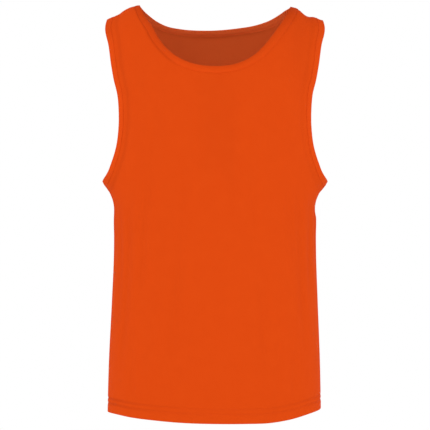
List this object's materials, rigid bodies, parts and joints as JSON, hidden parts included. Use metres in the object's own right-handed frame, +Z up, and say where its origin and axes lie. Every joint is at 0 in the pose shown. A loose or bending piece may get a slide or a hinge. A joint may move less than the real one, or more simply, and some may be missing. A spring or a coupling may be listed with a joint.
{
  "type": "mesh training bib",
  "caption": "Sleeveless pull-on training bib in knitted mesh with bound neck and armholes and a turned-up hem, filled out as worn.",
  "frame": {"origin": "middle of the shoulders at the height of the neck points, where the wearer holds the bib up", "axes": "+Z up, the front faces -Y, the wearer's left side is at +X"},
  "size_m": [0.376, 0.2673, 0.6823],
  "materials": {
    "panel_mesh": "fine knitted polyester mesh, matt with a faint sheen, bright red orange",
    "binding_mesh": "the same knit folded double, a little smoother and brighter"
  },
  "bodies": {
    "root": {"front_panel": "panel_mesh", "back_panel": "panel_mesh", "neck_binding": "binding_mesh", "armhole_binding_left": "binding_mesh", "armhole_binding_right": "binding_mesh"}
  },
  "joints": []
}
